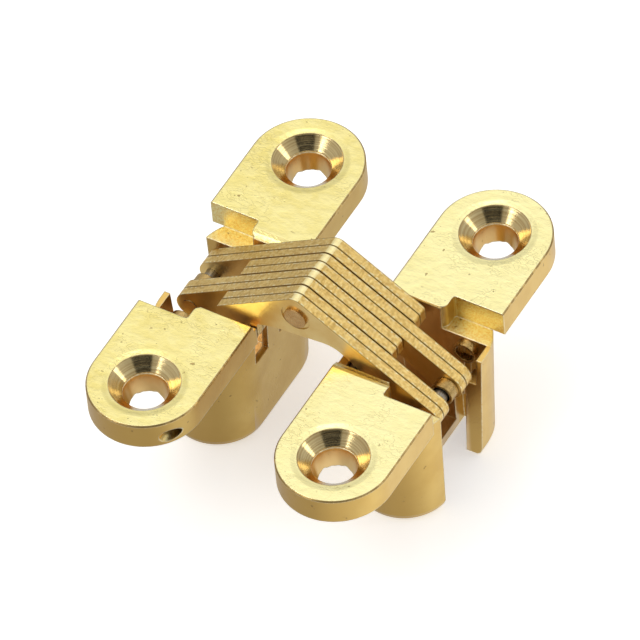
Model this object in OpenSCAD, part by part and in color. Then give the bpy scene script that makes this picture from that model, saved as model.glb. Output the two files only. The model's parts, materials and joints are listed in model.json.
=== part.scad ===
// Concealed scissor hinge, shown fully open with both faces level
// X runs across the two leaves, Y along the door edge and Z up, with Z = 0 at the foot of the cups

/* [Leaf plate] */
// Length of a leaf along the door edge
leaf_len = 45; // [40:0.5:60]
// Width of a leaf, which is also the diameter of its round ends
leaf_w = 12.3; // [12:0.1:16]
// Thickness of the plate round the cup
plate_t = 3.1; // [2.8:0.1:4]
// Distance between the two facing edges of the open leaves
leaf_gap = 9.7; // [8.5:0.1:12]
// Distance between the two screw holes of a leaf
screw_spacing = 33.24; // [31:0.1:34]
// Diameter of a screw hole
screw_hole_d = 4.8; // [3.5:0.1:5.5]
// Diameter of the countersink at the face
countersink_d = 7.48; // [6:0.1:8.5]
// Depth of the countersink
countersink_h = 1.3; // [0.8:0.1:2]
// Broken edge round the face
face_chamfer = 0.15; // [0.05:0.05:0.3]

/* [Cup] */
// Depth of the cup below the face
cup_depth = 17.6; // [17.4:0.1:24]
// Step from the side of the plate in to the side of the cup
cup_step = 0.3; // [0.1:0.05:0.6]
// Straight length of the cup between its round ends
cup_flat = 7.9; // [6.5:0.1:9]
// Taper of the cup's outside
cup_draft = 2.5; // [0:0.5:3]
// Broken edge round the foot of the cup
foot_chamfer = 0.9; // [0.3:0.1:1.2]
// Thickness of the floor under the inner half of the pocket
floor_t = 1.2; // [0.8:0.1:2]

/* [Pocket] */
// Width of the pocket that takes the links, at the face
pocket_w = 10.6; // [10.6:0.1:11]
// Taper of the pocket's end walls
pocket_draft = 1.5; // [0:0.1:1.5]
// Thickness of the wall on the side facing the other leaf
inner_wall = 0.6; // [0.5:0.05:0.8]
// Height of the bridges of the inner wall, below the face
bridge_drop = 0.9; // [0.8:0.1:1.5]
// Depth of the relief slots in the inner wall, below the face
relief_drop = 6.7; // [5.5:0.1:8]
// Set-back of the outer half of each pocket edge, cut through the plate
ledge_w = 1.9; // [1.5:0.05:2.6]
// Inside rounding of the set-back
notch_r = 0.3; // [0.2:0.05:0.6]
// Rounding of the tongue's corner at the set-back
tongue_r = 0.7; // [0.3:0.05:1]
// Width of the sloped lead on the inner half of one pocket edge
lead_w = 0.9; // [0.4:0.05:1.2]
// Depth of that lead
lead_h = 0.45; // [0.2:0.05:0.8]
// Depth of the guide channels in the pocket's end walls
channel_depth = 1; // [0.5:0.1:1.2]

/* [Guide leg] */
// Distance from the leaf's middle to the leg, at its top
leg_top_y = 3; // [2.9:0.05:3.5]
// Distance from the leaf's middle to the leg, at its foot
leg_foot_y = 2.6; // [2.55:0.05:3]
// Thickness of the leg across the leaf
leg_w = 1.9; // [1.5:0.05:2.2]
// Thickness of the rim above the leg
rim_w = 0.65; // [0.5:0.05:0.8]
// Height of the leg's shoulder, below the face
shoulder_drop = 6.9; // [6.8:0.1:8]
// Height of the open slot beside the leg
slot_h = 5.6; // [4:0.1:8]
// Depth of that slot into the end wall, from the leaf's middle
slot_y = 6.4; // [6:0.1:6.8]

/* [Linkage] */
// Centre rivet above the faces
rivet_rise = 3.25; // [3.1:0.05:3.5]
// Fixed pivot in from the inner edge of its leaf
pivot_inset = 1.35; // [1.3:0.05:1.5]
// Fixed pivot below the face
pivot_drop = 2; // [1.9:0.05:2.1]
// Slide pin in from the outer edge of its leaf, with the hinge open
slide_inset = 2.75; // [2.5:0.05:2.9]
// Slide pin below the face, with the hinge open
slide_drop = 4.9; // [4.7:0.05:5.3]
// Gap left between the two faces with the hinge closed
closed_gap = 1.6; // [1.4:0.1:2]

/* [Links] */
// Thickness of one link
link_t = 1.09; // [1:0.01:1.1]
// Radius of the long arm's round end
arm_r = 1.6; // [1.5:0.05:1.7]
// Top of the roof's sharp corner above the rivet
roof_rise = 2.81; // [2.6:0.01:3]
// Rounding of the roof
roof_r = 1.14; // [0.8:0.02:1.5]
// Height of the short arm's blunt end
short_end_h = 1.64; // [1.3:0.02:2]
// Rounding of the short arm's corners
short_r = 0.5; // [0.3:0.05:0.8]
// Underside of the link above the face, at the long arm
belly_rise = 0.9; // [0.7:0.05:1.1]
// Underside of the link above the face, at the short arm
throat_rise = 0.3; // [0.1:0.05:0.4]

/* [Pins] */
// Diameter of the fixed pivot pins
pivot_d = 1.5; // [1.3:0.05:1.6]
// Length of the fixed pivot pins
pivot_len = 16; // [13:0.5:17]
// Diameter of the slide pins
slide_d = 1.6; // [1.4:0.05:1.7]
// Diameter of the rivet's shank
rivet_d = 1.7; // [1.4:0.05:1.9]
// Diameter of the rivet's heads
rivet_head_d = 2.5; // [2.3:0.05:2.7]
// Height of a rivet head
rivet_head_h = 0.36; // [0.3:0.02:0.4]
// Depth of the recess round a rivet head
rivet_recess = 0.12; // [0.1:0.02:0.2]
// Diameter of the recess round a rivet head
rivet_recess_d = 3.3; // [3:0.05:3.5]
// Outside diameter of the spacer sleeves
sleeve_d = 2.6; // [2.4:0.05:2.8]
// Bore of the spacer sleeves
sleeve_bore_d = 2; // [1.9:0.05:2.1]
// Length of the spacer sleeves
sleeve_len = 1.25; // [1:0.05:1.8]

/* [Fits] */
// Radial clearance of a pin that turns in its hole
turn_fit = 0.05; // [0.03:0.01:0.08]
// Radial clearance of a pin that is set in its hole
set_fit = 0.02; // [0.01:0.01:0.03]
// Gap between two links of one pair
pair_gap = 0.05; // [0.02:0.01:0.06]
// Gap between one pair of links and the next
side_gap = 0.12; // [0.06:0.01:0.14]
// Gap between a slide pin's end and the pocket wall
end_gap = 0.1; // [0.05:0.05:0.2]
// Length of slide pin that stands out past the last link
pin_stub = 0.06; // [0.02:0.02:0.1]
// Room round the links in the relief slots
relief_gap = 0.12; // [0.08:0.02:0.2]
// Room round the links' round ends at the floor
floor_gap = 0.25; // [0.15:0.05:0.4]

/* [Hidden] */
round_fn = 64;
arc_step = 12;
// Overrun of every cut
over = 1;

// Places across the leaf, measured from the middle between the leaves
inner_edge = leaf_gap / 2;
outer_edge = inner_edge + leaf_w;
leaf_mid = inner_edge + leaf_w / 2;
pivot_x = inner_edge + pivot_inset;
slide_reach = outer_edge - slide_inset;
cup_r = leaf_w / 2 - cup_step;
foot_r = cup_r - (cup_depth - plate_t) * tan(cup_draft);
foot_slope = tan(cup_draft);
pocket_foot_w = pocket_w - 2 * cup_depth * tan(pocket_draft);
// Outer side of the cup at height z
function cup_side(z) = leaf_mid + foot_r + z * foot_slope;

// Open linkage, heights measured from the face
short_arm = norm([pivot_x, rivet_rise + pivot_drop]);
long_arm = norm([slide_reach, rivet_rise + slide_drop]);
closed_drop = asin((pivot_drop + closed_gap / 2) / short_arm);
rivet_closed_x = pivot_x + short_arm * cos(closed_drop);
arm_angle = 180 - atan((pivot_drop + rivet_rise) / pivot_x) - atan((rivet_rise + slide_drop) / slide_reach);
slide_closed = [rivet_closed_x - long_arm * cos(closed_drop - arm_angle),
    closed_gap / 2 + long_arm * sin(closed_drop - arm_angle)];
fold_angle = 180 - closed_drop - atan((pivot_drop + rivet_rise) / pivot_x);
channel_lean = atan((slide_closed.x - slide_reach) / (slide_closed.y + slide_drop));
// Outer end of the floor
open_edge = min(slide_closed.x, slide_reach) - arm_r - floor_gap;
// Step of the pocket's edge, out from the middle of the leaf
step_inset = 0.4;

// Stack of links, counted from the far side
stack_w = 8 * link_t + 4 * pair_gap + 3 * side_gap;
pair_pitch = 2 * link_t + pair_gap + side_gap;
link_pitch = link_t + pair_gap;
pair_w = 2 * link_t + pair_gap;

// Corner of the roof and the slope of its two sides
roof_top = rivet_rise + roof_rise;
roof_to_slide = norm([slide_reach, roof_top + slide_drop]);
roof_angle = atan((roof_top + slide_drop) / slide_reach) - asin(arm_r / roof_to_slide);
lobe_r = pivot_inset;

function unit(v) = v / norm(v);
function wrap(a) = a > 180 ? a - 360 : a < -180 ? a + 360 : a;
function xy(p) = [p.x, p.y];
// Points of an arc about mid
function arc(mid, r, from, sweep) =
    let (n = ceil(abs(sweep) / arc_step))
    [for (i = [0:n]) mid + r * [cos(from + sweep * i / n), sin(from + sweep * i / n)]];
// Arc that rounds the corner b of a path a, b, c
function corner_arc(a, b, c, r) =
    let (u = unit(a - b), v = unit(c - b), half = acos(u * v) / 2, mid = b + unit(u + v) * r / sin(half),
        p = b + u * r / tan(half) - mid, q = b + v * r / tan(half) - mid, from = atan2(p.y, p.x))
    arc(mid, r, from, wrap(atan2(q.y, q.x) - from));
// Path through corners given as [x, y, radius], without its first and last point
function rounded(pts) =
    [for (i = [1:len(pts) - 2]) each corner_arc(xy(pts[i - 1]), xy(pts[i]), xy(pts[i + 1]), pts[i].z)];

// Far face of link k of the stack, k = 0 at the far side
function link_far(k) = stack_w / 2 - floor(k / 2) * pair_pitch - (k % 2) * link_pitch;

// Outline of a link whose long arm points to +X, heights from the face
slide_at = [slide_reach, -slide_drop];
belly_share = 0.68;
throat_share = 0.45;
bend_r = 2 * arm_r;
belly = [belly_share * pivot_x, belly_rise, bend_r];
to_slide = slide_at - xy(belly);
low_angle = atan2(to_slide.y, to_slide.x) - asin(arm_r / norm(to_slide)) - 90;
tip_top = slide_at + arm_r * [sin(roof_angle), cos(roof_angle)];
tip_low = slide_at + arm_r * [cos(low_angle), sin(low_angle)];
// The short arm's foot stays inside its leaf's edge when the link has turned by the fold angle
foot_z = lobe_r * (1 - cos(fold_angle)) / -sin(fold_angle) - pivot_drop;
foot_rise = -cos(fold_angle) / sin(fold_angle);
foot_start = (lobe_r - cos(fold_angle) * pivot_x) / -sin(fold_angle) - pivot_drop;
short_reach = (roof_top - foot_start - short_end_h) / (foot_rise + tan(roof_angle));
short_top = roof_top - short_reach * tan(roof_angle);
link_outline = concat(
    arc(slide_at, arm_r, 90 - roof_angle, roof_angle + low_angle - 90),
    rounded([
        tip_low,
        belly,
        [-throat_share * pivot_x, throat_rise, bend_r],
        [-inner_edge, -throat_rise, short_r],
        [-inner_edge, foot_z, lobe_r],
        [-short_reach, short_top - short_end_h, short_r],
        [-short_reach, short_top, short_r],
        [0, roof_top, roof_r],
        tip_top]));

// Bar of round section along Y, from the far end y towards -Y
module bar(x, y, z, len, d) {
    translate([x, y, z])
        rotate([90, 0, 0])
            cylinder(h = len, d = d, $fn = round_fn);
}

// Tapered slab with round ends, whose straight part runs along Y
module slab(flat, z_low, z_high, r_low, r_high) {
    for (side = [-1, 1])
        translate([0, side * flat / 2, z_low])
            cylinder(h = z_high - z_low, r1 = r_low, r2 = r_high, $fn = round_fn);
    translate([0, flat / 2, 0])
        rotate([90, 0, 0])
            linear_extrude(flat)
                polygon([[-r_low, z_low], [r_low, z_low], [r_high, z_high], [-r_high, z_high]]);
}

module plate_body() {
    flat = leaf_len - leaf_w;
    slab(flat, cup_depth - plate_t, cup_depth - face_chamfer, leaf_w / 2, leaf_w / 2);
    slab(flat, cup_depth - face_chamfer, cup_depth, leaf_w / 2, leaf_w / 2 - face_chamfer);
}

module cup_body() {
    chamfer_r = foot_r + foot_chamfer * foot_slope;
    slab(cup_flat, foot_chamfer, cup_depth - plate_t / 2, chamfer_r, cup_r + foot_slope * plate_t / 2);
    slab(cup_flat, foot_chamfer / 3, foot_chamfer, chamfer_r - foot_chamfer / 4, chamfer_r);
    slab(cup_flat, 0, foot_chamfer / 3, chamfer_r - foot_chamfer * 2 / 3, chamfer_r - foot_chamfer / 4);
}

module screw_holes() {
    for (side = [-1, 1])
        translate([0, side * screw_spacing / 2, 0]) {
            translate([0, 0, cup_depth - plate_t - over])
                cylinder(h = plate_t + 2 * over, d = screw_hole_d, $fn = round_fn);
            translate([0, 0, cup_depth - countersink_h])
                cylinder(h = countersink_h, d1 = screw_hole_d, d2 = countersink_d, $fn = round_fn);
            translate([0, 0, cup_depth])
                cylinder(h = over, d = countersink_d, $fn = round_fn);
        }
}

// Solid run along X with the profile pts, given as [y, z]
module along_x(x_low, x_high, pts) {
    translate([x_low, 0, 0])
        rotate([90, 0, 90])
            linear_extrude(x_high - x_low)
                polygon(pts);
}

// Solid run along Y with the profile pts, given as [x, z]
module along_y(y_low, y_high, pts) {
    translate([0, y_high, 0])
        rotate([90, 0, 0])
            linear_extrude(y_high - y_low)
                polygon(pts);
}

// Space that the links move in
module pocket() {
    wall_top = inner_edge + cup_step + inner_wall;
    wall_foot = wall_top + (cup_depth - floor_t) * foot_slope;
    difference() {
        intersection() {
            along_y(-pocket_w / 2 - over, pocket_w / 2 + over,
                [[wall_top, cup_depth - bridge_drop], [wall_foot, floor_t], [open_edge, floor_t],
                    [open_edge, -over], [outer_edge + over, -over], [outer_edge + over, cup_depth + over],
                    [inner_edge - over, cup_depth + over], [inner_edge - over, cup_depth - bridge_drop]]);
            along_x(inner_edge - 2 * over, outer_edge + 2 * over,
                [[-pocket_foot_w / 2, 0], [pocket_foot_w / 2, 0], [pocket_w / 2, cup_depth],
                    [pocket_w / 2, cup_depth + over], [-pocket_w / 2, cup_depth + over], [-pocket_w / 2, cup_depth]]);
        }
        guide_leg();
    }
}

// Leg left standing at the +Y end of the pocket's open side, with a thin rim above its shoulder
module guide_leg() {
    shoulder = cup_depth - shoulder_drop;
    rim_top = cup_depth - plate_t;
    intersection() {
        along_y(0, pocket_w,
            [[cup_side(0) - leg_w, -over], [cup_side(shoulder) - leg_w, shoulder],
                [cup_side(shoulder) - rim_w, shoulder], [cup_side(rim_top) - rim_w, rim_top],
                [outer_edge + over, rim_top], [outer_edge + over, -over]]);
        along_x(leaf_mid, outer_edge + over,
            [[leg_foot_y, -over], [leg_foot_y, 0], [leg_top_y, rim_top], [pocket_w, rim_top], [pocket_w, -over]]);
    }
}

// Slot beside the foot of the leg, sunk into the end wall
module leg_slot() {
    along_y(leg_foot_y, slot_y,
        [[open_edge, -over], [cup_side(0) - leg_w, -over], [cup_side(slot_h) - leg_w, slot_h], [open_edge, slot_h]]);
}

// Slots in the inner wall that let the short arms of the other leaf's links through
module relief_slots() {
    slot_w = pair_w + 2 * relief_gap;
    for (k = [0, 4])
        translate([inner_edge - over, link_far(k) + relief_gap - slot_w, cup_depth - relief_drop])
            cube([cup_step + inner_wall + 2 * over, slot_w, relief_drop + over]);
}

// Set-backs at the outer half of the pocket's edges, and leads at the inner half
module pocket_edges() {
    edge = pocket_w / 2 + face_chamfer;
    ledge = cup_depth - plate_t;
    for (side = [-1, 1])
        scale([1, side, 1])
            translate([0, 0, ledge])
                linear_extrude(plate_t + over)
                    polygon(concat([[leaf_mid, 0], [outer_edge + over, 0]], rounded([
                        [outer_edge + over, 0],
                        [outer_edge + over, edge + ledge_w, face_chamfer],
                        [leaf_mid + step_inset, edge + ledge_w, notch_r],
                        [leaf_mid + step_inset, edge, tongue_r],
                        [leaf_mid - over, edge]]), [[leaf_mid, edge]]));
    along_x(inner_edge - over, leaf_mid + tongue_r,
        [[pocket_w / 2 - over, cup_depth + over], [edge + over, cup_depth + over],
            [pocket_w / 2 - over, cup_depth - face_chamfer - over]]);
    along_x(inner_edge - over, leaf_mid + step_inset,
        [[-pocket_w / 2 + over, cup_depth + over], [-edge - lead_w, cup_depth + over], [-edge - lead_w, cup_depth],
            [-pocket_w / 2, cup_depth - lead_h], [-pocket_w / 2 + over, cup_depth - lead_h]]);
}

// Channels in the end walls, along the straight line from the slide pin's open to its closed place
module guide_channels() {
    channel_w = slide_d + 2 * turn_fit;
    wall = pocket_foot_w / 2 - end_gap;
    deep = pocket_w / 2 + channel_depth;
    for (side = [-1, 1])
        scale([1, side, 1])
            translate([slide_reach, 0, cup_depth - slide_drop])
                rotate([0, channel_lean, 0]) {
                    bar(0, deep, 0, deep - wall, channel_w);
                    translate([-channel_w / 2, wall, -cup_depth])
                        cube([channel_w, deep - wall, cup_depth]);
                }
}

// One leaf on the +X side, with the mouth of its pivot drilling at the +Y end
module leaf() {
    difference() {
        translate([leaf_mid, 0, 0])
            difference() {
                union() {
                    plate_body();
                    cup_body();
                }
                screw_holes();
            }
        pocket();
        relief_slots();
        pocket_edges();
        guide_channels();
        leg_slot();
        bar(pivot_x, leaf_len / 2 + over, cup_depth - pivot_drop,
            leaf_len / 2 + over + pivot_len / 2, pivot_d + 2 * set_fit);
    }
}

module housing_a() {
    color("gold")
        rotate([0, 0, 180])
            leaf();
}

module housing_b() {
    color("gold")
        leaf();
}

// Link k of the stack, with a long arm to +X for dir = 1 and to -X for dir = -1
module link(k, dir, rivet_fit) {
    y = link_far(k);
    color("darkkhaki")
        scale([dir, 1, 1])
            difference() {
                translate([0, y, cup_depth])
                    rotate([90, 0, 0])
                        linear_extrude(link_t)
                            polygon(link_outline);
                bar(0, y + over, cup_depth + rivet_rise, link_t + 2 * over, rivet_d + 2 * rivet_fit);
                bar(-pivot_x, y + over, cup_depth - pivot_drop, link_t + 2 * over, pivot_d + 2 * turn_fit);
                bar(slide_reach, y + over, cup_depth - slide_drop, link_t + 2 * over, slide_d + 2 * set_fit);
                if (k == 0)
                    bar(0, y + over, cup_depth + rivet_rise, rivet_recess + over, rivet_recess_d);
                if (k == 7)
                    bar(0, y - link_t + rivet_recess, cup_depth + rivet_rise, rivet_recess + over, rivet_recess_d);
            }
}

module centre_rivet() {
    z = cup_depth + rivet_rise;
    seat = stack_w / 2 - rivet_recess;
    color("peru") {
        bar(0, seat, z, 2 * seat, rivet_d);
        bar(0, seat + rivet_head_h, z, rivet_head_h, rivet_head_d);
        bar(0, -seat, z, rivet_head_h, rivet_head_d);
    }
}

module pivot_pin(dir) {
    color("silver")
        scale([dir, 1, 1])
            bar(pivot_x, pivot_len / 2, cup_depth - pivot_drop, pivot_len, pivot_d);
}

// Slide pin of the +X leaf, from near the -Y end wall to just past the last link before the guide leg
module slide_pin() {
    far_end = link_far(2) + pin_stub;
    color("silver")
        bar(slide_reach, far_end, cup_depth - slide_drop, far_end + pocket_foot_w / 2 - end_gap, slide_d);
}

// Sleeve on the slide pin of the +X leaf, next to the middle pair of links
module sleeve() {
    y = link_far(2) - pair_w - pair_gap;
    color("goldenrod")
        difference() {
            bar(slide_reach, y, cup_depth - slide_drop, sleeve_len, sleeve_d);
            bar(slide_reach, y + over, cup_depth - slide_drop, sleeve_len + 2 * over, sleeve_bore_d);
        }
}

housing_a();
housing_b();
link(0, -1, turn_fit);  // link_a1
link(1, -1, turn_fit);  // link_a2
link(2, 1, set_fit);  // link_b1
link(3, 1, set_fit);  // link_b2
link(4, -1, turn_fit);  // link_a3
link(5, -1, turn_fit);  // link_a4
link(6, 1, set_fit);  // link_b3
link(7, 1, set_fit);  // link_b4
centre_rivet();
pivot_pin(-1);  // pivot_pin_a
pivot_pin(1);  // pivot_pin_b
rotate([0, 0, 180]) slide_pin();  // slide_pin_a
slide_pin();  // slide_pin_b
rotate([0, 0, 180]) sleeve();  // sleeve_a
sleeve();  // sleeve_b
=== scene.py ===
"""Concealed scissor hinge in gold-plated brass, lying open on a pale studio floor."""

import json
import math

import bmesh
import bpy
from mathutils import Matrix, Vector


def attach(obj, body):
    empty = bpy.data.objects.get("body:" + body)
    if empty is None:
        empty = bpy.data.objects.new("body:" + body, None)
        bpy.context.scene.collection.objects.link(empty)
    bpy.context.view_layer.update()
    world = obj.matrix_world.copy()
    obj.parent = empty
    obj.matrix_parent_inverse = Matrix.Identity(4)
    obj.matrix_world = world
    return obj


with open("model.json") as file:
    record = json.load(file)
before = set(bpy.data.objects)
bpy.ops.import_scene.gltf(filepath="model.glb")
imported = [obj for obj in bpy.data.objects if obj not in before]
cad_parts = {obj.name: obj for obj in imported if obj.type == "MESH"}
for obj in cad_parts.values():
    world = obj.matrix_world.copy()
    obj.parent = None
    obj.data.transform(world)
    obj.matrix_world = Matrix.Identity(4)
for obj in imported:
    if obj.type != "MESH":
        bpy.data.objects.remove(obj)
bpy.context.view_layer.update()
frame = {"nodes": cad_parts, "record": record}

MM = 0.001
PER_MM = 1000.0
EDGE_SAMPLES = 6

# The part's sizes that the finishes and the added pieces follow, in mm
FACE_Z = 17.6  # height of the leaves' faces
LEAF_MID = 11.0  # the leaves' middle lines, from the middle between them
SCREW_Y = 16.62  # the screw holes, from the middle of a leaf
CONE_R, CONE_DEPTH = 3.74, 1.3  # the screw cones
HOLE_R = 2.4  # the screw holes below the cones
LIP_R = 4.55  # rounding of the face round a cone, as far as it is seen
PLATE_T = 3.1  # thickness of a leaf's plate
POCKET_Y = 5.3  # the pockets' end walls, from the middle of a leaf
POCKET_FROM, POCKET_TO = -5.2, 3.8  # reach of the pockets' own colour, from a leaf's middle line
NOTCH_Y, NOTCH_DEPTH = 7.4, 3.25  # the set-backs beside the pockets' mouths
LINK_T = 1.09  # thickness of a link

# Colours; a pair goes from the deeper to the paler patches
WHITE = (1.0, 1.0, 1.0)
CAST_SIDE = (0.76, 0.50, 0.145), (0.86, 0.60, 0.195)
# Painted shade: a darker brass laid on the sides that face -Y
CAST_SIDE_SHADE = (0.52, 0.325, 0.09)
CAST_POCKET = (0.72, 0.51, 0.28), (0.90, 0.66, 0.35)
CAST_FACE = (0.81, 0.69, 0.24), (0.875, 0.77, 0.31)
# Painted light: the faces grow paler towards +X
CAST_FACE_PAINTED_LIGHT = (0.97, 0.92, 0.52)
# Painted highlight on the crests of the faces' waves
CAST_CREST_HIGHLIGHT = (0.98, 0.92, 0.52)
# Painted shade in the faces' creases
CAST_CREASE_SHADE = (0.66, 0.50, 0.18)
CAST_CONE = (0.64, 0.47, 0.21), (0.86, 0.70, 0.37)
CAST_BORE = (0.70, 0.46, 0.18), (0.84, 0.60, 0.27)
CAST_SETBACK = (0.78, 0.53, 0.15), (0.93, 0.87, 0.46)
CAST_PIT = (0.36, 0.22, 0.07)
# Painted highlight along the rounded edges
CAST_EDGE_HIGHLIGHT = (1.0, 0.93, 0.66)
# Painted shade: a dark reflection on the chamfers round the faces
CAST_CHAMFER_SHADE = (0.36, 0.24, 0.09)
LINK_EDGE = (0.66, 0.42, 0.115), (0.92, 0.65, 0.22)
LINK_MOTTLE = (0.99, 0.75, 0.29)
LINK_GLITTER = (1.0, 0.82, 0.38)
LINK_GRIT = (0.50, 0.31, 0.09)
# Painted highlight along the links' ridges
LINK_RIDGE_HIGHLIGHT = (1.0, 0.89, 0.48)
LINK_FLANK = (0.86, 0.60, 0.22), (0.95, 0.72, 0.31)
# Painted shade at the seams between the links
LINK_SEAM_SHADE = (0.17, 0.10, 0.035)
# Painted glints on the burrs beside the seams
LINK_PAINTED_GLINT = (1.0, 0.94, 0.64)
RIVET = (0.60, 0.36, 0.14), (0.74, 0.50, 0.22)
# Painted shade: the sleeves' brass is darker than the rest, for the pockets' shade they sit in
SLEEVE_SHADED = (0.38, 0.24, 0.08), (0.55, 0.38, 0.15)
# The steel's grey, darkened further as painted shade of the pockets
STEEL_SHADED = (0.20, 0.18, 0.15), (0.40, 0.37, 0.31)
PIN_END = (0.88, 0.63, 0.25)


class Tree:
    """Short hand for building a node tree."""

    def __init__(self, tree):
        self.tree = tree
        tree.nodes.clear()

    def add(self, kind, **settings):
        node = self.tree.nodes.new(kind)
        for key, value in settings.items():
            setattr(node, key, value)
        return node

    def feed(self, socket, value):
        """Link another node's output to a socket, or set the socket to a constant."""
        if isinstance(value, bpy.types.NodeSocket):
            self.tree.links.new(value, socket)
        elif socket.type == "RGBA":
            socket.default_value = (*value, 1.0)
        else:
            socket.default_value = value

    def math(self, operation, *terms):
        node = self.add("ShaderNodeMath", operation=operation)
        for socket, term in zip(node.inputs, terms):
            self.feed(socket, term)
        return node.outputs[0]

    def product(self, first, *others):
        for other in others:
            first = self.math("MULTIPLY", first, other)
        return first

    def vector(self, operation, a, b):
        node = self.add("ShaderNodeVectorMath", operation=operation)
        self.feed(node.inputs[0], a)
        self.feed(node.inputs["Scale" if operation == "SCALE" else 1], b)
        return node.outputs["Value" if operation == "DOT_PRODUCT" else "Vector"]

    def split(self, vector):
        node = self.add("ShaderNodeSeparateXYZ")
        self.feed(node.inputs[0], vector)
        return node.outputs

    def ramp(self, value, low, high, start=0.0, end=1.0):
        """Smooth step from start, where the value is low, to end, where it is high."""
        node = self.add("ShaderNodeMapRange", interpolation_type="SMOOTHSTEP")
        names = ("Value", "From Min", "From Max", "To Min", "To Max")
        for name, v in zip(names, (value, low, high, start, end)):
            self.feed(node.inputs[name], v)
        return node.outputs[0]

    def between(self, mask, off, on):
        """One value where the mask is 0 and another where it is 1."""
        return self.ramp(mask, 0.0, 1.0, off, on)


class Finish(Tree):
    """A material with one principled shader; its patterns are measured in mm."""

    def __init__(self, name):
        self.mat = bpy.data.materials.new(name)
        self.mat.use_nodes = True
        super().__init__(self.mat.node_tree)
        self.out = self.add("ShaderNodeOutputMaterial")
        self.bsdf = self.add("ShaderNodeBsdfPrincipled")
        self.feed(self.out.inputs["Surface"], self.bsdf.outputs[0])
        coord = self.add("ShaderNodeTexCoord")
        self.place = self.vector("SCALE", coord.outputs["Object"], PER_MM)
        self.normal = coord.outputs["Normal"]
        self.generated = coord.outputs["Generated"]

    def stretch(self, x, y, z):
        return self.vector("MULTIPLY", self.place, (x, y, z))

    def noise(self, scale, detail=3.0, rough=0.5, vector=None):
        node = self.add("ShaderNodeTexNoise")
        self.feed(node.inputs["Vector"], vector or self.place)
        self.feed(node.inputs["Scale"], scale)
        self.feed(node.inputs["Detail"], detail)
        self.feed(node.inputs["Roughness"], rough)
        return node.outputs[0]

    def patches(self, scale, detail=3.0, rough=0.5, low=0.3, high=0.7, vector=None):
        """Noise with its contrast raised: 0 where it is below low, 1 where it is above high."""
        return self.ramp(self.noise(scale, detail, rough, vector), low, high)

    def mix(self, share, a, b):
        node = self.add("ShaderNodeMix", data_type="RGBA")
        self.feed(node.inputs["Factor"], share)
        first, second = (s for s in node.inputs if s.type == "RGBA")
        self.feed(first, a)
        self.feed(second, b)
        return next(s for s in node.outputs if s.type == "RGBA")

    def layers(self, colour, *overlays):
        """Colour with others laid over it in turn, each by its share."""
        for share, overlay in overlays:
            colour = self.mix(share, colour, overlay)
        return colour

    def bump(self, height, depth_mm, normal=None):
        node = self.add("ShaderNodeBump")
        self.feed(node.inputs["Strength"], 1.0)
        self.feed(node.inputs["Distance"], depth_mm * MM)
        self.feed(node.inputs["Height"], height)
        if normal is not None:
            self.feed(node.inputs["Normal"], normal)
        return node.outputs[0]

    def soft_edges(self, radius_mm):
        node = self.add("ShaderNodeBevel", samples=EDGE_SAMPLES)
        self.feed(node.inputs["Radius"], radius_mm * MM)
        return node.outputs[0]

    def edge_mask(self, rounded_normal):
        """1 where the rounded normal leaves the true one, which is along the edges."""
        flat = self.add("ShaderNodeNewGeometry").outputs["True Normal"]
        return self.ramp(self.vector("DOT_PRODUCT", flat, rounded_normal), 0.998, 0.93)

    def finish(self, colour, rough, normal):
        self.feed(self.bsdf.inputs["Base Color"], colour)
        self.feed(self.bsdf.inputs["Roughness"], rough)
        self.feed(self.bsdf.inputs["Normal"], normal)
        self.feed(self.bsdf.inputs["Metallic"], 1.0)
        return self.mat


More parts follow.
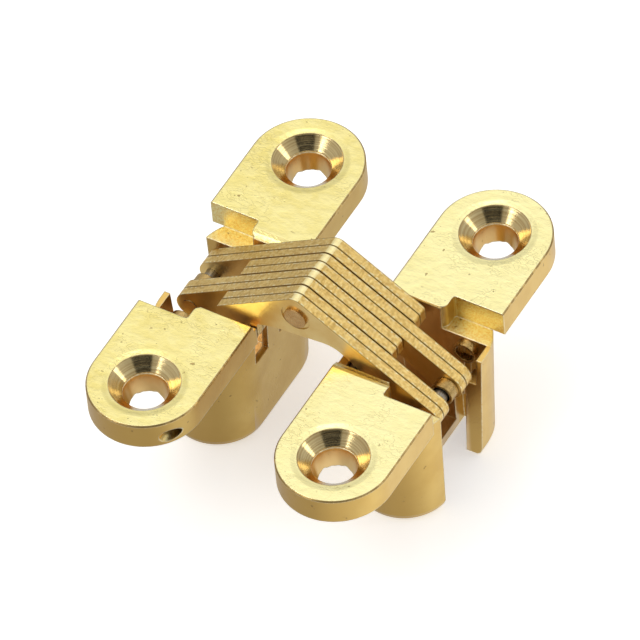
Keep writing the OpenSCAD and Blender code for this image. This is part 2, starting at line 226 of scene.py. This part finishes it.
def cast_brass():
    """Die casting: pale wrinkled faces, warmer tumbled sides, brown pockets, speckled set-backs
    and turned screw cones, with painted highlights on the wave crests, the edges and the faces'
    +X side, and painted shade in the creases, on the chamfers and on the sides facing -Y."""
    n = Finish("cast_brass_plated")
    x, y, z = n.split(n.place)
    nx, ny, nz = n.split(n.normal)
    depth = n.math("SUBTRACT", FACE_Z, z)
    along = n.math("ABSOLUTE", y)
    from_mid = n.math("SUBTRACT", n.math("ABSOLUTE", x), LEAF_MID)
    past = n.math("SUBTRACT", along, SCREW_Y)
    squares = n.math("ADD", n.product(from_mid, from_mid), n.product(past, past))
    from_screw = n.math("SQRT", squares)

    # Masks of the kinds of surface. They fade over shares of the normal, or over distances in mm.
    face = n.product(n.ramp(nz, 0.80, 0.97), n.ramp(depth, 0.4, 0.15))
    cone = n.product(n.ramp(from_screw, CONE_R + 0.11, CONE_R - 0.02), n.ramp(depth, 0.02, 0.08))
    plain = n.math("SUBTRACT", 1.0, cone)
    bore = n.product(cone, n.ramp(depth, CONE_DEPTH, CONE_DEPTH + 0.1))
    turned = n.math("SUBTRACT", cone, bore)
    lip = n.product(n.ramp(from_screw, CONE_R - 0.02, LIP_R), face)
    sloped = n.product(n.ramp(nz, 0.45, 0.6), n.ramp(nz, 0.9, 0.8))
    chamfer = n.product(sloped, n.ramp(depth, 0.2, 0.15), plain)
    notch = n.product(
        n.ramp(from_mid, 0.2, 0.5),
        n.ramp(along, NOTCH_Y + 0.05, NOTCH_Y - 0.05),
        n.ramp(depth, NOTCH_DEPTH + 0.1, NOTCH_DEPTH - 0.1),
        n.ramp(depth, 0.05, 0.2),
        n.ramp(n.math("ABSOLUTE", nx), 0.7, 0.4),
    )
    ledge = n.product(n.ramp(nz, 0.2, 0.4), n.ramp(depth, 0.1, 0.35))
    rough_cast = n.product(
        n.math("MAXIMUM", ledge, notch),
        n.ramp(along, POCKET_Y - 0.1, POCKET_Y + 0.05),
        n.ramp(from_screw, CONE_R + 0.06, CONE_R + 0.26),
    )
    inside = n.product(
        n.ramp(along, POCKET_Y + 0.06, POCKET_Y + 0.01),
        n.ramp(from_mid, POCKET_FROM - 0.1, POCKET_FROM + 0.1),
        n.ramp(from_mid, POCKET_TO + 0.3, POCKET_TO - 0.3),
        n.ramp(z, 0.05, 0.15),
        n.ramp(depth, 0.1, 0.3),
    )

    # Patterns
    waves = n.noise(scale=0.7, rough=0.55, vector=n.stretch(1.0, 1.7, 1.0))
    folds = n.noise(scale=1.1, detail=2.0, vector=n.stretch(1.0, 1.6, 1.0))
    creases = n.ramp(n.math("ABSOLUTE", n.math("SUBTRACT", folds, 0.5)), 0.03, 0.0)
    creases = n.product(creases, n.patches(scale=0.3, detail=2.0, low=0.46, high=0.62))
    grain = n.noise(scale=4.0, rough=0.6)
    speckle = n.noise(scale=5.0, detail=4.0, rough=0.85)
    rings = n.noise(scale=1.0, rough=0.7, vector=n.stretch(0.05, 0.05, 9.0))
    pits = n.patches(scale=1.9, detail=1.0, low=0.27, high=0.23)
    pits = n.product(pits, n.patches(scale=0.35, detail=1.0, low=0.45, high=0.6))
    tone = n.patches(scale=0.18, rough=0.6)
    rounded = n.soft_edges(0.2)

    # Colours
    side = n.layers(
        n.mix(tone, *CAST_SIDE),
        # painted shade on the sides that face -Y
        (n.ramp(ny, -0.4, -0.9, 0.0, 0.8), CAST_SIDE_SHADE),
        (inside, n.mix(tone, *CAST_POCKET)),
    )
    polished = n.layers(
        n.mix(tone, *CAST_FACE),
        # painted light: the faces paler towards +X
        (n.ramp(x, -16.0, 12.0, 0.0, 0.6), CAST_FACE_PAINTED_LIGHT),
        # painted highlight on the crests of the waves
        (n.ramp(waves, 0.38, 0.62, 0.0, 0.22), CAST_CREST_HIGHLIGHT),
        # painted shade in the creases
        (n.product(creases, 0.16), CAST_CREASE_SHADE),
    )
    colour = n.layers(
        side,
        (face, polished),
        (cone, n.mix(n.ramp(rings, 0.35, 0.65), *CAST_CONE)),
        (bore, n.mix(tone, *CAST_BORE)),
        (n.product(rough_cast, 0.85), n.mix(n.ramp(speckle, 0.36, 0.62), *CAST_SETBACK)),
        (n.product(pits, 0.75), CAST_PIT),
        # painted highlight along the rounded edges
        (n.product(n.edge_mask(rounded), n.ramp(grain, 0.3, 0.6, 0.1, 0.8)), CAST_EDGE_HIGHLIGHT),
        # painted shade: a dark reflection on the chamfers
        (n.product(chamfer, n.ramp(waves, 0.35, 0.55, 0.35, 0.9)), CAST_CHAMFER_SHADE),
    )

    # Roughness, smoother on the faces and in the cones
    rough = n.math("MULTIPLY_ADD", grain, 0.12, n.between(face, 0.26, 0.15))
    rough = n.math("MULTIPLY_ADD", turned, -0.2, rough)

    # Relief, in shares of the bump's depth
    relief = n.math("MULTIPLY_ADD", waves, n.between(face, 0.3, 1.0), n.product(grain, 0.05))
    sunk = n.math("MULTIPLY_ADD", pits, 0.5, n.product(creases, 0.18))
    relief = n.math("MULTIPLY_ADD", lip, 1.9, n.math("SUBTRACT", relief, sunk))
    relief = n.math("MULTIPLY_ADD", relief, plain, n.product(rings, 0.13, turned))
    relief = n.math("MULTIPLY_ADD", speckle, n.product(rough_cast, 0.45), relief)
    return n.finish(colour, rough, n.bump(relief, 0.06, rounded))


def link_brass():
    """Stampings: smooth flanks, and grained edges with painted shade at the seams where one link
    meets the next, painted glints on small raised burrs beside them and a painted highlight along
    the ridges."""
    n = Finish("stamped_brass_plated")
    ny, nz = n.split(n.normal)[1:3]
    through = n.split(n.generated)[1]
    to_flank = n.product(n.math("MINIMUM", through, n.math("SUBTRACT", 1.0, through)), LINK_T)
    shift = n.product(n.add("ShaderNodeObjectInfo").outputs["Random"], 40.0)

    def own(x, y, z):
        """Stretched place that differs from one link to the next."""
        return n.vector("ADD", n.stretch(x, y, z), shift)

    # Masks and patterns
    flank = n.ramp(n.math("ABSOLUTE", ny), 0.6, 0.9)
    cut = n.math("SUBTRACT", 1.0, flank)
    lines = n.noise(scale=1.0, detail=4.0, rough=0.7, vector=own(0.9, 3.4, 0.9))
    shear = n.noise(scale=1.0, rough=0.65, vector=own(4.5, 0.9, 4.5))
    sheared = n.patches(scale=0.25, detail=1.0, low=0.45, high=0.6, vector=own(1.0, 1.0, 1.0))
    streaks = n.math("MULTIPLY_ADD", n.math("SUBTRACT", shear, lines), sheared, lines)
    grain = n.noise(scale=3.5, rough=0.6)
    glitter = n.noise(scale=3.0, detail=2.0, rough=0.6, vector=own(1.0, 1.0, 1.0))
    mottle = n.patches(scale=0.9, detail=4.0, rough=0.65, vector=own(1.0, 1.0, 1.0))
    tone = n.patches(scale=0.3, rough=0.6)
    # Painted shade along the seams where one link meets the next
    seam_shade = n.product(n.ramp(to_flank, 0.09, 0.03), cut)
    # The burr mask raises small burrs in the relief and lays painted glints on them in the colour
    burr = n.product(n.ramp(to_flank, 0.08, 0.12), n.ramp(to_flank, 0.24, 0.16))
    burr = n.product(burr, cut, n.ramp(glitter, 0.48, 0.62))
    # Painted highlight along the ridges, where the normal points up
    ridge_highlight = n.product(n.ramp(nz, 0.90, 0.97), n.ramp(grain, 0.25, 0.55, 0.4, 0.9))

    # Colours
    edge = n.layers(
        n.mix(n.ramp(streaks, 0.35, 0.65), *LINK_EDGE),
        (n.product(mottle, 0.28), LINK_MOTTLE),
        (n.ramp(glitter, 0.45, 0.68, 0.0, 0.45), LINK_GLITTER),
        (n.ramp(glitter, 0.45, 0.30, 0.0, 0.4), LINK_GRIT),
        # painted highlight along the ridges
        (ridge_highlight, LINK_RIDGE_HIGHLIGHT),
    )
    colour = n.layers(
        edge,
        (flank, n.mix(tone, *LINK_FLANK)),
        # painted shade at the seams
        (n.product(seam_shade, 0.8), LINK_SEAM_SHADE),
        # painted glints on the burrs
        (n.product(burr, 0.9), LINK_PAINTED_GLINT),
    )

    # Roughness and relief
    rough = n.math("MULTIPLY_ADD", grain, 0.14, n.between(flank, 0.26, 0.32))
    height = n.math("MULTIPLY_ADD", cut, n.product(streaks, 0.45), n.product(grain, 0.4))
    height = n.math("ADD", height, n.product(burr, 0.4))
    return n.finish(colour, rough, n.bump(height, 0.035))


def turned_brass(name, colours):
    """Small turned or headed brass parts."""
    n = Finish(name)
    grain = n.noise(scale=4.0, rough=0.6)
    colour = n.mix(n.patches(scale=0.9, detail=2.0), *colours)
    rough = n.math("MULTIPLY_ADD", grain, 0.16, 0.2)
    return n.finish(colour, rough, n.bump(grain, 0.05, n.soft_edges(0.15)))


def pin_steel():
    """Drawn steel wire with faint lengthwise lines; its ends are plated with the links that they
    are set in."""
    n = Finish("drawn_steel")
    lines = n.noise(scale=1.0, detail=2.0, rough=0.6, vector=n.stretch(9.0, 0.4, 9.0))
    grain = n.noise(scale=3.5, rough=0.6)
    plated = n.ramp(n.math("ABSOLUTE", n.split(n.normal)[1]), 0.7, 0.9)
    # the steel's grey is darkened as painted shade
    colour = n.mix(plated, n.mix(n.ramp(lines, 0.3, 0.7), *STEEL_SHADED), PIN_END)
    rough = n.math("MULTIPLY_ADD", lines, 0.2, n.between(plated, 0.26, 0.28))
    return n.finish(colour, rough, n.bump(n.math("ADD", lines, grain), 0.02))


finishes = {
    "cast_brass": cast_brass(),
    "stamped_brass": link_brass(),
    "rivet_brass": turned_brass("rivet_brass_plated", RIVET),
    # painted shade: a darker brass for the sleeves and collars in the pockets
    "sleeve_brass": turned_brass("sleeve_brass_plated", SLEEVE_SHADED),
    "pin_steel": pin_steel(),
}

# Finishes on the CAD meshes, and rolled edges on the stampings, in mm
ROLLED_R, ROLLED_STEPS = 0.12, 3
ROLLED_FROM = math.radians(50)
WELD_GAP = 0.0005
slots = {part["node"]: part["material_slot"] for part in frame["record"]["subparts"]}
for name, obj in frame["nodes"].items():
    for place in obj.material_slots:
        place.material = finishes[slots[name]]
    if name.startswith("link_"):
        weld = obj.modifiers.new("weld", "WELD")
        weld.merge_threshold = WELD_GAP * MM
        bevel = obj.modifiers.new("rolled_edges", "BEVEL")
        bevel.width, bevel.segments = ROLLED_R * MM, ROLLED_STEPS
        bevel.limit_method, bevel.angle_limit = "ANGLE", ROLLED_FROM

RING_SIDES = 64
SHARP = math.radians(30)


def ring(name, profile, place, body, slot):
    """Ring turned from a closed profile of (radius, distance along the axis) in mm; place maps it
    into the part."""
    made = bmesh.new()
    turns = [2 * math.pi * i / RING_SIDES for i in range(RING_SIDES)]
    loops = []
    for radius, along in profile:
        points = (place(radius * math.cos(a), radius * math.sin(a), along) for a in turns)
        loops.append([made.verts.new(Vector(point) * MM) for point in points])
    for first, second in zip(loops, loops[1:] + loops[:1]):
        for i in range(RING_SIDES):
            j = (i + 1) % RING_SIDES
            made.faces.new((first[i], first[j], second[j], second[i]))
    bmesh.ops.recalc_face_normals(made, faces=made.faces)
    mesh = bpy.data.meshes.new(name)
    made.to_mesh(mesh)
    made.free()
    mesh.materials.append(finishes[slot])
    mesh.shade_smooth()
    mesh.set_sharp_from_angle(angle=SHARP)
    piece = bpy.data.objects.new(name, mesh)
    bpy.context.scene.collection.objects.link(piece)
    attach(piece, body)


# Collars at the tops of the guide channels, beside the guide legs: their axis across the leaf and
# below the face, their reach along Y, and their two radii
COLLAR_X, COLLAR_DROP = 13.95, 4.6
COLLAR_FROM, COLLAR_TO = 4.35, 5.2
COLLAR_BORE, COLLAR_R = 1.0, 1.3
COLLAR_PROFILE = [
    (COLLAR_BORE, COLLAR_TO),
    (COLLAR_BORE, COLLAR_FROM),
    (COLLAR_R, COLLAR_FROM),
    (COLLAR_R, COLLAR_TO),
]

# Taper of the cast screw holes below their cones, as a skin on the plain bore: the radius at its
# foot, the burr that stands out at the underside, and how far the skin overlaps what it meets
HOLE_FOOT_R, BURR, BURR_T = 1.82, 0.4, 0.12
SUNK, INSET = 0.01, 0.02
TAPER_TOP = -CONE_DEPTH - 0.05
TAPER_PROFILE = [
    (HOLE_R + SUNK, TAPER_TOP),
    (HOLE_R - INSET, TAPER_TOP),
    (HOLE_FOOT_R, -BURR - PLATE_T),
    (HOLE_FOOT_R + BURR_T, -BURR - PLATE_T),
    (HOLE_R + SUNK, INSET - PLATE_T),
]
# Waves round the burr's uneven edge: number, height in mm and start
BURR_WAVES = ((5, 0.07, 0), (9, 0.05, 1), (14, 0.04, 0))


def ragged(u, v, w):
    """How far a point of the burr moves up or down; nothing else of the taper moves."""
    turn = math.atan2(v, u)
    rise = sum(height * math.sin(count * turn + start) for count, height, start in BURR_WAVES)
    return rise * (w < -PLATE_T)


def collar_place(side):
    return lambda u, v, w: (side * (COLLAR_X + u), side * w, FACE_Z - COLLAR_DROP + v)


def taper_place(side, way):
    return lambda u, v, w: (side * LEAF_MID + u, way * SCREW_Y + v, FACE_Z + w + ragged(u, v, w))


for leaf, side in (("a", -1), ("b", 1)):
    body = "leaf_" + leaf
    ring("guide_collar_" + leaf, COLLAR_PROFILE, collar_place(side), body, "sleeve_brass")
    for end, way in (("far", 1), ("near", -1)):
        name = "screw_hole_taper_%s_%s" % (leaf, end)
        ring(name, TAPER_PROFILE, taper_place(side, way), body, "cast_brass")

# Floor: lifted to white for the camera, with the object's shadow on it; what the metal mirrors of
# it is mostly an even light, stronger on the +X side
FLOOR_SIZE, FLOOR_Z = 4.0, -0.0001
FLOOR_PAINT, FLOOR_ROUGH = (0.93, 0.93, 0.93), 0.9
FLOOR_LIFT = 0.48
MIRRORED_SHARE = 0.8
MIRRORED_X = (6.0, 24.0)  # in mm
MIRRORED_LEVEL = (0.60, 1.0)  # at those two places
bpy.ops.mesh.primitive_plane_add(size=FLOOR_SIZE, location=(0, 0, FLOOR_Z))
floor = bpy.context.object
floor.name = "studio_floor"
n = Finish("studio_floor_paint")
n.feed(n.bsdf.inputs["Base Color"], FLOOR_PAINT)
n.feed(n.bsdf.inputs["Roughness"], FLOOR_ROUGH)
ray = n.add("ShaderNodeLightPath").outputs
glow = n.add("ShaderNodeEmission")
lit = n.add("ShaderNodeAddShader")
card = n.add("ShaderNodeEmission")
shown = n.add("ShaderNodeMixShader")
to_eye = n.math("MAXIMUM", ray["Is Camera Ray"], ray["Is Transmission Ray"])
n.feed(glow.inputs["Strength"], n.product(to_eye, FLOOR_LIFT))
n.feed(card.inputs["Strength"], n.ramp(n.split(n.place)[0], *MIRRORED_X, *MIRRORED_LEVEL))
n.feed(shown.inputs["Fac"], n.product(ray["Is Glossy Ray"], MIRRORED_SHARE))
n.feed(lit.inputs[0], n.bsdf.outputs[0])
n.feed(lit.inputs[1], glow.outputs[0])
n.feed(shown.inputs[1], lit.outputs[0])
n.feed(shown.inputs[2], card.outputs[0])
n.feed(n.out.inputs["Surface"], shown.outputs[0])
floor.data.materials.append(n.mat)


def softbox(name, place, aim, width, height, watts):
    data = bpy.data.lights.new(name, "AREA")
    data.shape = "RECTANGLE"
    data.size, data.size_y = width, height
    data.energy = watts
    light = bpy.data.objects.new(name, data)
    bpy.context.scene.collection.objects.link(light)
    light.location = place
    light.rotation_euler = (Vector(aim) - Vector(place)).to_track_quat("-Z", "Y").to_euler()


PART_MID = (0, 0, 0.015)
softbox("key", (-0.30, -0.38, 0.55), PART_MID, width=0.36, height=0.36, watts=1.1)
softbox("rim", (0.45, 0.25, 0.35), PART_MID, width=0.12, height=0.40, watts=0.25)

# Surroundings: white to the camera; to everything else a room with a soft panel overhead, behind
# the hinge, that the level faces mirror near its edge, a small gleam above it, a dim horizon, and
# the camera's side dimmer, with a low dark hole where the lens is. Directions are unit vectors, and
# how near a ray comes to one is the cosine of the angle between them.
ROOM_TINT = (1.0, 0.985, 0.96)
PANEL = (-0.244, 0.360, 0.901)
PANEL_STOPS = ((0.35, 0.56), (0.67, 0.66), (0.90, 0.90), (1.0, 1.22))  # nearness, level
HORIZON_TOP, HORIZON_LEVEL = 0.3, 0.78
LENS = (0.40, -0.60, 0.69)
LENS_SIDE, LENS_SIDE_LEVEL = (0.60, 0.86), 0.80
LENS_RIM, LENS_LEVEL = (0.885, 0.93), 0.08
LENS_FOOT, LENS_TOP = (0.575, 0.615), (0.705, 0.745)  # heights where the hole begins and ends
GLEAM = (-0.174, 0.256, 0.951)
GLEAM_RIM, GLEAM_LEVEL = (0.988, 0.9975), 1.8

world = bpy.data.worlds.new("studio")
bpy.context.scene.world = world
world.use_nodes = True
w = Tree(world.node_tree)
out = w.add("ShaderNodeOutputWorld")
seen = w.add("ShaderNodeBackground")
room = w.add("ShaderNodeBackground")
mixed = w.add("ShaderNodeMixShader")
direction = w.add("ShaderNodeTexCoord").outputs["Generated"]
height = w.split(direction)[2]
to_panel, to_lens, to_gleam = (w.vector("DOT_PRODUCT", direction, d) for d in (PANEL, LENS, GLEAM))

level = PANEL_STOPS[0][1]
for (near, low), (nearer, high) in zip(PANEL_STOPS, PANEL_STOPS[1:]):
    level = w.math("ADD", level, w.ramp(to_panel, near, nearer, 0.0, high - low))
hole = w.product(
    w.ramp(height, *LENS_FOOT), w.ramp(height, *LENS_TOP, 1.0, 0.0), w.ramp(to_lens, *LENS_RIM)
)
level = w.product(
    level,
    w.ramp(height, 0.0, HORIZON_TOP, HORIZON_LEVEL, 1.0),
    w.ramp(to_lens, *LENS_SIDE, 1.0, LENS_SIDE_LEVEL),
    w.ramp(hole, 0.0, 1.0, 1.0, LENS_LEVEL),
    w.ramp(to_gleam, *GLEAM_RIM, 1.0, GLEAM_LEVEL),
)
w.feed(room.inputs["Strength"], level)
w.feed(room.inputs["Color"], ROOM_TINT)
w.feed(seen.inputs["Color"], WHITE)
w.feed(mixed.inputs["Fac"], w.add("ShaderNodeLightPath").outputs["Is Camera Ray"])
w.feed(mixed.inputs[1], room.outputs[0])
w.feed(mixed.inputs[2], seen.outputs[0])
w.feed(out.inputs["Surface"], mixed.outputs[0])

# Camera, fitted to the photo: its angles, its distance in mm, the photo's scale at the faces and
# its width, and the point of the faces' plane in the middle of the photo, in mm
AZIMUTH, ELEVATION, ROLL = (math.radians(a) for a in (34.18, 49.20, -5.93))
DISTANCE = 1200
PX_PER_MM, PHOTO_PX = 9.881, 640
SENSOR = 36
CLIP = (0.01, 20)
TARGET = Vector((0.819, -1.525, FACE_Z))
flat = math.cos(ELEVATION)
back = Vector((flat * math.sin(AZIMUTH), -flat * math.cos(AZIMUTH), math.sin(ELEVATION)))
across = Vector((math.cos(AZIMUTH), math.sin(AZIMUTH), 0))
right = across * math.cos(ROLL) + back.cross(across) * math.sin(ROLL)
up = back.cross(right)
lens = bpy.data.cameras.new("photo_camera")
lens.sensor_width = SENSOR
lens.lens = SENSOR * PX_PER_MM * DISTANCE / PHOTO_PX
lens.clip_start, lens.clip_end = CLIP
camera = bpy.data.objects.new("photo_camera", lens)
bpy.context.scene.collection.objects.link(camera)
turn = Matrix((right, up, back)).transposed().to_4x4()
camera.matrix_world = Matrix.Translation((TARGET + back * DISTANCE) * MM) @ turn
bpy.context.scene.camera = camera
bpy.context.scene.view_settings.view_transform = "Standard"
